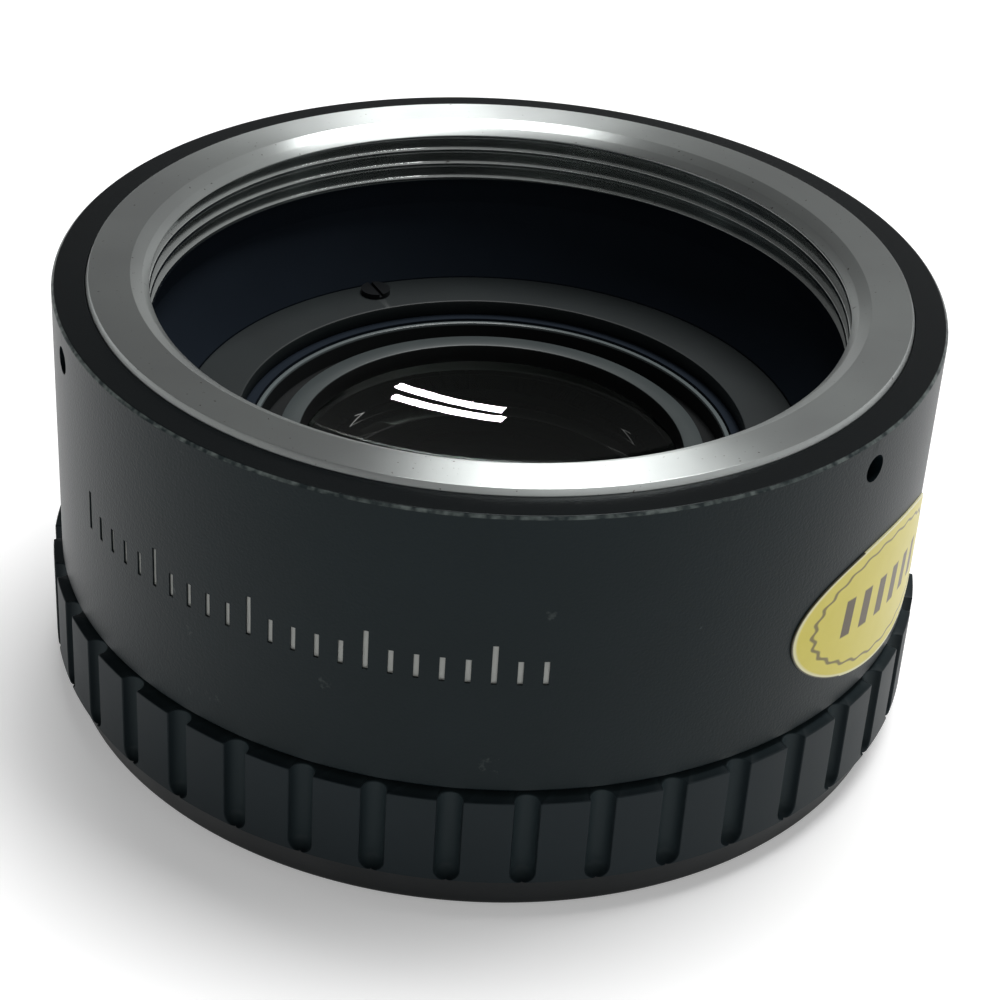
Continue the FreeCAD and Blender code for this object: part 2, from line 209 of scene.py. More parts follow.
# %% [markdown]
# ## Screw threads
# The camera screw thread is 42 mm across with a pitch of 1 mm. A thread could
# be a bump in the material, but the front one catches the light turn by turn,
# so it is real geometry. One wave with a tooth for each pitch is spun once while
# it climbs by one pitch, so each tooth runs into the next. The chrome rounds
# the crests, and a round crest is what draws the wide bright line. Two flat
# cuts then trim the helix to the faces it ends at.

# %% Thread helper
PITCH = 1.0 * MM
HALF_TOOTH = ((0.0625, 0.0), (0.29, 0.78), (0.34, 0.91), (0.39, 0.98), (0.45, 1.0))
THREAD_STEPS = 240
TRIM_TOLERANCE = 0.0001 * MM
OVERLAP = 0.02 * MM
BACKING = 0.1 * MM


def thread(major, minor, backing, foot, top, phase=0.0):
    """A threaded sleeve between two heights; backing is its plain far side."""
    first = math.floor(foot / PITCH) - 2 + phase
    teeth = math.ceil((top - foot) / PITCH) + 4
    outline = []
    for tooth in range(teeth):
        start = (first + tooth) * PITCH
        for up, deep in HALF_TOOTH:
            outline.append((major + (minor - major) * deep, start + up * PITCH))
        for up, deep in reversed(HALF_TOOTH):
            outline.append((major + (minor - major) * deep, start + (1 - up) * PITCH))
    for tooth in range(teeth, -1, -1):
        outline.append((backing, (first + tooth + HALF_TOOTH[0][0]) * PITCH))
    shape = spun(outline, steps=THREAD_STEPS, rise=PITCH)
    for height, outwards in ((foot, -1), (top, 1)):
        cut = bmesh.ops.bisect_plane(
            shape,
            geom=shape.verts[:] + shape.edges[:] + shape.faces[:],
            dist=TRIM_TOLERANCE,
            plane_co=(0, 0, height),
            plane_no=(0, 0, outwards),
            clear_outer=True,
        )
        rim = [part for part in cut["geom_cut"] if isinstance(part, bmesh.types.BMEdge)]
        bmesh.ops.triangle_fill(shape, edges=rim, use_beauty=True, use_dissolve=False)
    bmesh.ops.recalc_face_normals(shape, faces=shape.faces[:])
    return shape


def joined(*shapes):
    """Several bmeshes as one."""
    whole = bmesh.new()
    for shape in shapes:
        part = as_mesh("part", shape)
        whole.from_mesh(part)
        bpy.data.meshes.remove(part)
    return whole


# %% [markdown]
# ## The bright front mount ring
# A brass ring, turned, threaded and chromed. From outside in it has a steep
# little edge above the black rim, a flat face, a shallow dish, a steeper
# lead-in that guides the lens, and then the turns of thread. A short spigot
# below carries the last turn and covers the joint with the housing.

# %% Front mount ring
MAJOR_R = 21.0 * MM
MINOR_R = 20.459 * MM
DISH_R = 21.53 * MM
LEAD_IN_R = 20.85 * MM
LEAD_IN_DROP = 0.36 * MM
LIP_HEIGHT = 0.04 * MM
RING_EDGE = 0.15 * MM
RING_SOFT = 0.06 * MM
RING_SHALLOWEST = 0.25
THREAD_RUNOUT = 0.3 * MM
FIRST_CREST_PHASE = 0.7
SPIGOT = 0.43 * MM
SPIGOT_R = 21.14 * MM

lip_z = rim_z - LEAD_IN_DROP - LIP_HEIGHT
spigot_foot = ring_foot - SPIGOT
ring_outline = [
    (MAJOR_R + OVERLAP, spigot_foot),
    (SPIGOT_R, spigot_foot),
    (SPIGOT_R, ring_foot),
    (ring_r, ring_foot),
    (ring_r, rim_z),
    (ring_r - RING_EDGE, face_z),
    (DISH_R, face_z),
    (LEAD_IN_R, rim_z),
    (MINOR_R, rim_z - LEAD_IN_DROP),
    (MINOR_R, lip_z),
    (MAJOR_R + OVERLAP, lip_z - THREAD_RUNOUT),
]
ring_body = soften(spun(ring_outline), RING_SOFT, above=RING_SHALLOWEST)
ring_thread = thread(
    MAJOR_R, MINOR_R, MAJOR_R + BACKING,
    foot=spigot_foot + OVERLAP, top=lip_z + OVERLAP, phase=FIRST_CREST_PHASE,
)
front_ring = piece("mount_ring", joined(ring_body, ring_thread), "front_mount_ring")

# %% [markdown]
# ## The rear mount
# It hides under the cap until the converter is lifted out. Its flange clamps
# the barrel, and its neck carries the same thread on the outside.

# %% Rear mount
MALE_MAJOR_R = 20.95 * MM
MALE_MINOR_R = 20.42 * MM
NECK_BORE_R = 18.6 * MM
BAFFLE_SEAT_R = 19.15 * MM
BAFFLE_SEAT = 0.8 * MM
FLANGE_STEP_R = 23.15 * MM
FLANGE_STEP = 0.9 * MM
NECK_LEAD = 0.35 * MM
THREAD_RELIEF = 0.6 * MM
NECK_SOFT = 0.05 * MM

core_r = MALE_MINOR_R - OVERLAP
mount_outline = [
    (BAFFLE_SEAT_R, neck_foot),
    (core_r - BACKING, neck_foot),
    (core_r, neck_foot + BACKING),
    (core_r, cap_top),
    (flange_r, cap_top),
    (flange_r, flange_top - FLANGE_STEP),
    (FLANGE_STEP_R, flange_top - FLANGE_STEP),
    (FLANGE_STEP_R, flange_top),
    (NECK_BORE_R, flange_top),
    (NECK_BORE_R, neck_foot + BAFFLE_SEAT),
    (BAFFLE_SEAT_R, neck_foot + BAFFLE_SEAT),
]
mount_body = soften(spun(mount_outline), NECK_SOFT)
neck_thread = thread(
    MALE_MAJOR_R, MALE_MINOR_R, core_r - BACKING,
    foot=neck_foot + NECK_LEAD, top=cap_top - THREAD_RELIEF,
)
rear_mount = piece("lens_mount_neck", joined(mount_body, neck_thread), "rear_mount")

# %% [markdown]
# ## The fluted cap
# The cap is moulded, so its flutes have a round nose at the foot and every
# edge a small radius. A boolean cut would leave hard edges, so the wall is
# grown instead: one circle of points is extruded level by level, and each
# level puts its points on the cap's section there. The section of one flute
# is an arc for the hollow, a small arc for its edge, and the plain land.

# %% Fluted cap
FLUTES = 40
FLUTE_START = math.radians(-2.135)
FLUTE_R = 0.702 * MM
FLUTE_DEPTH = 0.83 * MM
FLUTE_EDGE = 0.1 * MM
HOLLOW_POINTS = 7
EDGE_POINTS = 3
LAND_POINTS = 4
LAND_FOOT = 2.45 * MM
RIM_STEP = 0.3 * MM
RIM_TAPER = 0.65 * MM
BASE_ROUND = 0.6 * MM
BASE_STEPS = 5
RIM_SOFT = 0.04 * MM
# Rise, step in and flute radius of the two levels that round the lands' foot.
LAND_FOOT_SOFT_MM = ((0.0, 0.06, 0.02), (0.02, 0.02, 0.1))
NOSE_DEGREES = (72, 60, 45, 30, 15, 0)
CAP_SOFT = 0.08 * MM
# Drop and step in of the level halfway round the top edge.
CAP_SOFT_MIDDLE = (0.03 * MM, 0.02 * MM)
CAP_FLOOR = 1.6 * MM
CORE_R = 24.4 * MM
CORE_FLOOR = 2.4 * MM
SEAT_R = 22.68 * MM
CAP_BORE_R = 21.05 * MM
FEMALE_MAJOR_R = 21.03 * MM
FEMALE_MINOR_R = 20.5 * MM
CAP_LEAD = 0.3 * MM
CAP_THREAD_RELIEF = 0.35 * MM
FLOOR_FILLET = 0.15 * MM


# %% A flute's section
def flute_half(land_r, hollow_r):
    """Half of a flute's section, from its middle out, as (distance out, distance across)."""
    axis_r = cap_r - FLUTE_DEPTH + FLUTE_R
    edge_x = land_r - FLUTE_EDGE
    reach = hollow_r + FLUTE_EDGE
    edge_y = math.sqrt(max(reach**2 - (edge_x - axis_r) ** 2, 0))
    widest = math.atan2(edge_y, axis_r - edge_x)
    points = []
    for i in range(HOLLOW_POINTS):
        angle = widest * i / (HOLLOW_POINTS - 1)
        points.append((axis_r - hollow_r * math.cos(angle), hollow_r * math.sin(angle)))
    for i in range(1, EDGE_POINTS + 1):
        angle = (math.pi - widest) * (1 - i / EDGE_POINTS)
        x = edge_x + FLUTE_EDGE * math.cos(angle)
        points.append((x, edge_y - FLUTE_EDGE * math.sin(angle)))
    return points


def fluted_section(land_r, hollow_r):
    """All the points of the cap's section at one level, once round."""
    half = flute_half(land_r, hollow_r)
    flute = [(x, -y) for x, y in reversed(half[1:])] + half
    edge_angle = math.atan2(half[-1][1], half[-1][0])
    land_angle = 2 * math.pi / FLUTES - 2 * edge_angle
    points = []
    for sector in range(FLUTES):
        middle = FLUTE_START + sector * 2 * math.pi / FLUTES
        for x, y in flute:
            radius = min(math.hypot(x, y), land_r)
            points.append((radius, middle + math.atan2(y, x)))
        for i in range(1, LAND_POINTS + 1):
            step = land_angle * i / (LAND_POINTS + 1)
            points.append((land_r, middle + edge_angle + step))
    return points


print("points round the cap:", len(fluted_section(cap_r, FLUTE_R)))


# %% The cap's levels
def cap_levels():
    """(height, section) pairs from the base's middle, up the outside and down the inside."""
    first_angle = fluted_section(cap_r, FLUTE_R)[0][1]
    count = len(fluted_section(cap_r, FLUTE_R))

    def plain(radius):
        return [(radius, first_angle + 2 * math.pi * i / count) for i in range(count)]

    rim_r = cap_r - RIM_STEP
    foot_r = rim_r - RIM_TAPER
    slope = math.atan2(RIM_TAPER, LAND_FOOT)
    inset = BASE_ROUND * (1 - math.sin(slope)) / math.cos(slope)
    levels = []
    for i in range(BASE_STEPS + 1):
        angle = math.radians(-90) + (math.radians(90) - slope) * i / BASE_STEPS
        radius = foot_r - inset + BASE_ROUND * math.cos(angle)
        levels.append((BASE_ROUND + BASE_ROUND * math.sin(angle), plain(radius)))
    levels.append((LAND_FOOT - RIM_SOFT, plain(rim_r)))
    levels.append((LAND_FOOT, plain(rim_r + RIM_SOFT)))
    for rise, inwards, flute_r in LAND_FOOT_SOFT_MM:
        section = fluted_section(cap_r - inwards * MM, flute_r * MM)
        levels.append((LAND_FOOT + rise * MM, section))
    for degrees in NOSE_DEGREES:
        angle = math.radians(degrees)
        height = LAND_FOOT + FLUTE_R * (1 - math.sin(angle))
        levels.append((height, fluted_section(cap_r, FLUTE_R * math.cos(angle))))
    levels.append((cap_top - CAP_SOFT, fluted_section(cap_r, FLUTE_R)))
    drop, inwards = CAP_SOFT_MIDDLE
    levels.append((cap_top - drop, fluted_section(cap_r - inwards, FLUTE_R + inwards)))
    levels.append((cap_top, fluted_section(cap_r - CAP_SOFT, FLUTE_R + CAP_SOFT)))
    inner = [
        (CORE_R + CAP_SOFT, cap_top),
        (CORE_R, cap_top - CAP_SOFT),
        (CORE_R, CORE_FLOOR),
        (SEAT_R, CORE_FLOOR),
        (SEAT_R, cap_top - CAP_SOFT),
        (SEAT_R - CAP_SOFT, cap_top),
        (CAP_BORE_R + CAP_LEAD, cap_top),
        (CAP_BORE_R, cap_top - CAP_LEAD),
        (CAP_BORE_R, CAP_FLOOR + FLOOR_FILLET),
        (CAP_BORE_R - FLOOR_FILLET, CAP_FLOOR),
    ]
    for radius, height in inner:
        levels.append((height, plain(radius)))
    return levels


print("levels of the cap:", len(cap_levels()))


# %% Grow the cap
def grown(levels):
    """Extrude one loop of points through a list of levels and close both ends."""
    shape = bmesh.new()
    column = shape.verts.layers.int.new("column")
    count = len(levels[0][1])
    bmesh.ops.create_circle(shape, cap_ends=False, segments=count, radius=cap_r)
    for i, vert in enumerate(shape.verts):
        vert[column] = i
    loop = shape.edges[:]
    for number, (height, section) in enumerate(levels):
        if number:
            fresh, loop = extended(shape, loop)
        else:
            fresh, base = shape.verts, loop
        for vert in fresh:
            radius, angle = section[vert[column]]
            vert.co = (radius * math.cos(angle), radius * math.sin(angle), height)
    for edges in (base, loop):
        bmesh.ops.contextual_create(shape, geom=edges)
    bmesh.ops.recalc_face_normals(shape, faces=shape.faces[:])
    return shape


cap_wall = grown(cap_levels())
cap_thread = thread(
    FEMALE_MAJOR_R, FEMALE_MINOR_R, CAP_BORE_R + BACKING,
    foot=CORE_FLOOR, top=cap_top - CAP_THREAD_RELIEF,
)
cap = piece("fluted_cap", joined(cap_wall, cap_thread), "rear_cap", body="cap")

# %% [markdown]
# ## The barrel
# One plain sleeve. The three holes for the grub screws and the engraved marks
# are cut with a boolean, as a drill and an engraving cutter would cut them.

# %% Barrel
BARREL_WALL = 1.9 * MM
BARREL_LIP_R = 23.2 * MM
BARREL_LIP = 0.9 * MM
TOP_CHAMFER = 0.16 * MM
FOOT_CHAMFER = 0.12 * MM
BARREL_SOFT = 0.03 * MM
GRUB_R = 0.8 * MM
GRUB_DROP = 1.95 * MM
GRUB_DRILL = 6 * MM
GRUB_SIDES = 40
GRUB_ANGLES = [math.radians(-37.7 + 120 * i) for i in range(3)]
MARKS = 23
MARK_START = math.radians(-148)
MARK_STEP = math.radians(3)
MARK_WIDTH = 0.3 * MM
MARK_DEPTH = 0.15 * MM
MARK_CUTTER = 2 * MM
MARK_DROP = 10.4 * MM
MARK_HEIGHT = 1.5 * MM
LONG_MARK_HEIGHT = 2.45 * MM
LONG_MARK_EVERY = 5


# %% Drill and engraving cutter
def cutters():
    """The drill and the engraving cutter at every place they cut the barrel."""
    shape = bmesh.new()
    lay = Matrix.Rotation(math.pi / 2, 4, "Y")
    at_rim = Matrix.Translation((barrel_r, 0, rim_z - GRUB_DROP))
    for angle in GRUB_ANGLES:
        place = Matrix.Rotation(angle, 4, "Z") @ at_rim
        bmesh.ops.create_cone(
            shape, cap_ends=True, segments=GRUB_SIDES,
            radius1=GRUB_R, radius2=GRUB_R, depth=GRUB_DRILL, matrix=place @ lay,
        )
    for i in range(MARKS):
        height = LONG_MARK_HEIGHT if i % LONG_MARK_EVERY == 0 else MARK_HEIGHT
        middle = (barrel_r - MARK_DEPTH + MARK_CUTTER / 2, 0, rim_z - MARK_DROP + height / 2)
        place = Matrix.Rotation(MARK_START + i * MARK_STEP, 4, "Z") @ Matrix.Translation(middle)
        size = Matrix.Diagonal((MARK_CUTTER, MARK_WIDTH, height, 1))
        bmesh.ops.create_cube(shape, size=1, matrix=place @ size)
    return shape


def carved(target, tools):
    """Cut a bmesh of tools from an object and keep the result as its mesh."""
    mesh = as_mesh("tools", tools)
    cutter = placed("tools", mesh)
    cut = target.modifiers.new("cut", "BOOLEAN")
    cut.operation = "DIFFERENCE"
    cut.solver = "EXACT"
    cut.object = cutter
    target.modifiers.move(len(target.modifiers) - 1, 0)
    with bpy.context.temp_override(object=target, active_object=target):
        bpy.ops.object.modifier_apply(modifier="cut")
    bpy.data.objects.remove(cutter)
    bpy.data.meshes.remove(mesh)
    target.data.set_sharp_from_angle(angle=SHARP)
    print(target.name, "after the cuts:", len(target.data.polygons), "faces")


print("marks:", MARKS, "grub holes:", len(GRUB_ANGLES))

# %% Turn and cut the barrel
barrel = turned("barrel_sleeve", "outer_barrel", [
    (barrel_r - BARREL_WALL, barrel_foot),
    (barrel_r - FOOT_CHAMFER, barrel_foot),
    (barrel_r, barrel_foot + FOOT_CHAMFER),
    (barrel_r, rim_z - TOP_CHAMFER),
    (barrel_r - TOP_CHAMFER, rim_z),
    (barrel_r - BARREL_WALL, rim_z),
    (barrel_r - BARREL_WALL, housing_foot),
    (BARREL_LIP_R, housing_foot),
    (BARREL_LIP_R, housing_foot - BARREL_LIP),
    (barrel_r - BARREL_WALL, housing_foot - BARREL_LIP),
], soft=BARREL_SOFT)
carved(barrel, cutters())

# %% [markdown]
# ## The lens block's front rings
# The grey ring round the glass and the cell's thin lip are what shows of the
# lens block. Both are turned, and their broken edges draw the thin bright
# circles in the dark well; the lip's circle is also a painted highlight on its top.

# %% Retaining ring and lens cell
RETAINER_BORE_R = 11.75 * MM
RETAINER_SOFT = 0.07 * MM
CELL_R = 14.75 * MM
CELL_LIP = 0.35 * MM
CELL_GROOVE = 1.3 * MM
CELL_BORE_R = 13.05 * MM
CELL_FLANGE = 0.8 * MM
CELL_SOFT = 0.15 * MM
SHOULDER_R = 11.0 * MM
SHOULDER = 0.7 * MM
ELEMENT_1_EDGE = 2.0 * MM

retainer = turned("glass_retaining_ring", "front_retaining_ring", [
    (RETAINER_BORE_R, retainer_foot),
    (retainer_r, retainer_foot),
    (retainer_r, retainer_top),
    (RETAINER_BORE_R, retainer_top),
], soft=RETAINER_SOFT)

shoulder_top = retainer_foot - ELEMENT_1_EDGE
cell = turned("lens_tube", "lens_cell", [
    (CELL_BORE_R, cell_foot),
    (CELL_R, cell_foot),
    (CELL_R, lock_top),
    (cell_flange_r, lock_top),
    (cell_flange_r, lock_top + CELL_FLANGE),
    (CELL_R, lock_top + CELL_FLANGE),
    (CELL_R, cell_top),
    (CELL_R - CELL_LIP, cell_top),
    (CELL_R - CELL_LIP, cell_top - CELL_GROOVE),
    (CELL_BORE_R, cell_top - CELL_GROOVE),
    (CELL_BORE_R, shoulder_top),
    (SHOULDER_R, shoulder_top),
    (SHOULDER_R, shoulder_top - SHOULDER),
    (CELL_BORE_R, shoulder_top - SHOULDER),
], soft=CELL_SOFT)

# %% [markdown]
# ## The front glass
# The front face is hollow, ground as part of a sphere. A hollow mirror gathers
# what lies above it, so the double line shows clear of the rim. The outline
# runs from the axis behind to the axis in front, and the spin closes both
# poles. Only the face inside the ring stands up from the seat.

# %% Front glass
GLASS_R = 12.95 * MM
GLASS_FACE_R = 11.7 * MM
GLASS_EDGE_Z = retainer_top - 1.1 * MM
GLASS_BEVEL = 0.12 * MM
GLASS_FRONT_CURVE = 48 * MM
GLASS_REAR_R = 11.0 * MM
GLASS_REAR_CURVE = 50 * MM
GLASS_POINTS = 24


def hollow(curve, edge_r, edge_z, upwards):
    """Points of a spherical hollow from its edge to the axis."""
    points = []
    rim_depth = math.sqrt(curve**2 - edge_r**2)
    for i in range(GLASS_POINTS + 1):
        radius = edge_r * (1 - i / GLASS_POINTS)
        depth = math.sqrt(curve**2 - radius**2) - rim_depth
        points.append((radius, edge_z + upwards * depth))
    return points


glass_outline = hollow(GLASS_REAR_CURVE, GLASS_REAR_R, shoulder_top, 1)[::-1] + [
    (GLASS_R, shoulder_top),
    (GLASS_R, retainer_foot),
    (GLASS_FACE_R, retainer_foot),
    (GLASS_FACE_R, GLASS_EDGE_Z - GLASS_BEVEL),
] + hollow(GLASS_FRONT_CURVE, GLASS_FACE_R - GLASS_BEVEL, GLASS_EDGE_Z, -1)
front_glass = piece("front_glass", spun(glass_outline, closed=False), "lens_element_1")

# %% [markdown]
# ## The flat plate
# A stamped washer that hides the inside of the housing. Stamping rounds its
# edges, and three drilled holes let the screws through.

# %% Front plate
PLATE_OPENING_R = 15.4 * MM
PLATE_HOLE_R = 0.52 * MM
PLATE_HOLE_SIDES = 24
PLATE_DRILL = 8 * MM
PLATE_SOFT = 0.14 * MM

plate = turned("front_cover_plate", "front_plate", [
    (PLATE_OPENING_R, plate_foot),
    (plate_r, plate_foot),
    (plate_r, plate_top),
    (PLATE_OPENING_R, plate_top),
], soft=PLATE_SOFT)
plate_drills = bmesh.new()
for name in ("plate_screw_1", "plate_screw_2", "plate_screw_3"):
    low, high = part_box(name)
    hole = Matrix.Translation((low + high) / 2)
    bmesh.ops.create_cone(
        plate_drills, cap_ends=True, segments=PLATE_HOLE_SIDES,
        radius1=PLATE_HOLE_R, radius2=PLATE_HOLE_R, depth=PLATE_DRILL, matrix=hole,
    )
carved(plate, plate_drills)

# %% [markdown]
# ## The oval sticker
# A sticker is flat paper bent round the barrel. It starts as a disc of rings,
# is stretched to an oval, keeps those flat places as its UV map, and is then
# wrapped on the barrel. The print follows the UV map, so it bends with the
# paper. A little noise lifts it where it has begun to crease.

# %% Sticker
STICKER_LONG = 9.65 * MM
STICKER_HIGH = 4.46 * MM
STICKER_ANGLE = math.radians(-28.35)
STICKER_Z = rim_z - 11.95 * MM
STICKER_TILT = math.radians(-6.25)
STICKER_LIFT = 0.09 * MM
PAPER_THICK = 0.085 * MM
CREASES_MM = ((1.6, 0.05), (0.6, 0.02))
CREASE_LEAST = 0.15
CREASE_START = 0.25
STICKER_RINGS = 28
STICKER_SPOKES = 128
UV_SPAN = 20 * MM


# %% Wrap the sticker
def sticker_shape():
    """The flat oval, its UV map, the wrap round the barrel and the creases."""
    shape = bmesh.new()
    bmesh.ops.create_circle(shape, cap_ends=False, segments=STICKER_SPOKES, radius=1)
    loop = shape.edges[:]
    for ring in range(STICKER_RINGS - 1, 0, -1):
        fresh, loop = extended(shape, loop)
        size = ring / (ring + 1)
        bmesh.ops.scale(shape, vec=(size, size, 1), verts=list(fresh))
    bmesh.ops.contextual_create(shape, geom=loop)
    bmesh.ops.scale(shape, vec=(STICKER_LONG, STICKER_HIGH, 1), verts=shape.verts[:])
    bmesh.ops.recalc_face_normals(shape, faces=shape.faces[:])
    paper = shape.loops.layers.uv.new("paper")
    for face in shape.faces:
        for corner in face.loops:
            flat = corner.vert.co
            corner[paper].uv = (flat.x / UV_SPAN + 0.5, flat.y / UV_SPAN + 0.5)
    tilt = Matrix.Rotation(STICKER_TILT, 3, "Z")
    for vert in shape.verts:
        flat = vert.co.copy()
        far_end = max(flat.x / STICKER_LONG - CREASE_START, 0)
        crease = sum(noise.noise(flat / (wide * MM)) * high * MM for wide, high in CREASES_MM)
        lift = STICKER_LIFT + abs(crease) * (CREASE_LEAST + far_end)
        place = tilt @ flat
        angle = STICKER_ANGLE + place.x / barrel_r
        radius = barrel_r + lift
        vert.co = (radius * math.cos(angle), radius * math.sin(angle), STICKER_Z + place.y)
    bmesh.ops.recalc_face_normals(shape, faces=shape.faces[:])
    outwards = Vector((math.cos(STICKER_ANGLE), math.sin(STICKER_ANGLE), 0))
    if shape.faces[:][0].normal.dot(outwards) < 0:
        bmesh.ops.reverse_faces(shape, faces=shape.faces[:])
    bmesh.ops.solidify(shape, geom=shape.faces[:], thickness=PAPER_THICK)
    return shape


sticker = piece("oval_sticker", sticker_shape(), "inspection_sticker")
sticker.modifiers.clear()

# %% [markdown]
# ## Helpers for materials
# Colours are written as the sRGB hex values a colour picker shows, and one
# function turns them into the linear values that shaders use. One function
# adds a node with its settings and its links. Its inputs are a dict by socket
# name or number, or a tuple in the order of the sockets. For a map range that
# order is the value, the range it comes from and the range it goes to.


# %% Material helpers
def linear(code):
    """An sRGB hex colour as linear red, green, blue and alpha."""
    values = [int(code[i : i + 2], 16) / 255 for i in (1, 3, 5)]
    curve = [v / 12.92 if v <= 0.04045 else ((v + 0.055) / 1.055) ** 2.4 for v in values]
    return (*curve, 1.0)


def add(tree, kind, inputs=(), **settings):
    """Add a node. Sockets and nodes (their first output) are linked, other inputs are values."""
    made = tree.nodes.new("ShaderNode" + kind)
    for name, value in settings.items():
        setattr(made, name, value)
    for key, value in inputs.items() if isinstance(inputs, dict) else enumerate(inputs):
        if isinstance(value, bpy.types.Node):
            value = value.outputs[0]
        if isinstance(value, bpy.types.NodeSocket):
            tree.links.new(value, made.inputs[key])
        else:
            made.inputs[key].default_value = value
    return made


def finish(name, **values):
    """A new material and its shader, with plain values set on the shader's own sockets."""
    material = bpy.data.materials.new(name)
    material.use_nodes = True
    tree = material.node_tree
    shader = tree.nodes["Principled BSDF"]
    for key, value in values.items():
        shader.inputs[key.replace("_", " ")].default_value = value
    return material, tree, shader


def dress(material, slot, *pieces):
    """Give a material to pieces and to CAD nodes; the slot argument is not used."""
    for target in pieces:
        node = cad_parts.get(target) if isinstance(target, str) else target
        node.data.materials.clear()
        node.data.materials.append(material)
    print(material.name, "nodes:", len(material.node_tree.nodes), "pieces:", len(pieces))


def bump(tree, shader, height, distance, strength=1.0):
    """Push a height pattern into a shader's normal."""
    node = add(tree, "Bump", {"Height": height, "Distance": distance, "Strength": strength})
    tree.links.new(node.outputs["Normal"], shader.inputs["Normal"])


def clouded(tree, place, scale, detail, low, high):
    """A soft noise, and the colour it makes by blending two near ones."""
    cloud = add(tree, "TexNoise", {"Vector": place, "Scale": scale, "Detail": detail})
    ends = {"Factor": cloud, 6: linear(low), 7: linear(high)}
    return cloud, add(tree, "Mix", ends, data_type="RGBA").outputs[2]


def layered(tree, shader, colour, *layers):
    """Lay colours over a base where their masks are 1, and show the result."""
    for mask, code in layers:
        ends = {"Factor": mask, 6: colour, 7: linear(code)}
        colour = add(tree, "Mix", ends, data_type="RGBA").outputs[2]
    tree.links.new(colour, shader.inputs["Base Color"])


# %% [markdown]
# ## Bright chrome on turned brass
# Chrome is a metal, so it takes its colour from what it reflects. The lathe
# leaves rings too fine to see one by one, and they stretch every highlight
# across themselves, which is why the ring's face is white in front and at the
# back and grey at its sides. That is what anisotropy is for: the tangent runs
# along the tool's path, the cross product of the axis and the place.

# %% Chrome
STAIN_SCALE = 1 / (9 * MM)
GRAIN_SCALE = 1 / (0.25 * MM)
GRAIN_HEIGHT = 0.004 * MM
WORN_ROUGHNESS = (0.26, 0.36)
THREAD_POLISH = 0.5
POLISH_FADE = 0.05 * MM

chrome, tree, shader = finish(
    "satin_chrome", Metallic=1.0, Roughness=0.3, Anisotropic=0.95, Anisotropic_Rotation=0.25
)
place = add(tree, "TexCoord").outputs["Object"]
path = add(tree, "VectorMath", ((0, 0, 1), place), operation="CROSS_PRODUCT")
along = add(tree, "VectorMath", (path,), operation="NORMALIZE")
world_path = add(
    tree, "VectorTransform", (along,),
    vector_type="VECTOR", convert_from="OBJECT", convert_to="WORLD",
)
tree.links.new(world_path.outputs[0], shader.inputs["Tangent"])

# %% Stains, specks and polish
stain = add(tree, "TexNoise", {"Vector": place, "Scale": STAIN_SCALE, "Detail": 3.0})
stain_tint = add(tree, "ValToRGB", (stain,))
for i, (at, code) in enumerate(((0.35, "#bfc3c2"), (0.65, "#c9cecc"))):
    stain_tint.color_ramp.elements[i].position = at
    stain_tint.color_ramp.elements[i].color = linear(code)
grain = add(tree, "TexNoise", {"Vector": place, "Scale": GRAIN_SCALE, "Detail": 2.0})
speck = add(tree, "MapRange", (grain, 0.24, 0.29))
colour = add(
    tree, "Mix", {"Factor": speck, 6: linear("#6f6d68"), 7: stain_tint}, data_type="RGBA"
)
tree.links.new(colour.outputs[2], shader.inputs["Base Color"])
worn = add(tree, "MapRange", (stain, 0.0, 1.0, *WORN_ROUGHNESS))
height = add(tree, "SeparateXYZ", (place,)).outputs["Z"]
polish = add(tree, "MapRange", (height, lip_z - POLISH_FADE, lip_z, THREAD_POLISH))
gloss = add(tree, "Math", (worn, polish), operation="MULTIPLY")
tree.links.new(gloss.outputs[0], shader.inputs["Roughness"])
bump(tree, shader, grain, GRAIN_HEIGHT, 0.6)
dress(chrome, "bright_mount", front_ring, rear_mount)

# %% [markdown]
# ## Black anodised aluminium
# The barrel is aluminium that was blasted with fine beads and then dyed and
# sealed. The dye leaves a black with a little green in it, and the blasting a
# fine grain that scatters the light, so the sides glow only where the eye
# glances along them. White paint fills the engraved marks, which lie below
# the barrel's surface, so the distance from the axis tells paint from metal.

# %% Barrel finish
BLAST_SCALE = 1 / (0.16 * MM)
BLAST_HEIGHT = 0.02 * MM
CLOUD_SCALE = 1 / (6 * MM)
RUB_SCALE = 1 / (0.6 * MM)
SCUFF_SCALE = 1 / (2.2 * MM)
EDGE_SUM = barrel_r + rim_z - TOP_CHAMFER
PAINT_TOP = rim_z - 7.5 * MM
PAINT_FOOT = rim_z - 11 * MM
PAINT_INSIDE_R = barrel_r - 0.5 * MM
MARK_FLOOR_R = barrel_r - MARK_DEPTH

anodised, tree, shader = finish(
    "black_anodised_aluminium", Roughness=0.38, IOR=1.45,
    Specular_IOR_Level=0.19, Specular_Tint=linear("#e2eeee"),
)
place = add(tree, "TexCoord").outputs["Object"]
split = add(tree, "SeparateXYZ", (place,))
flat_place = add(tree, "CombineXYZ", (split.outputs["X"], split.outputs["Y"]))
axis_distance = add(tree, "VectorMath", (flat_place,), operation="LENGTH").outputs["Value"]
blast = add(tree, "TexNoise", {"Vector": place, "Scale": BLAST_SCALE, "Detail": 2.0})
_, dye = clouded(tree, place, CLOUD_SCALE, 3.0, "#0a1316", "#101a1e")

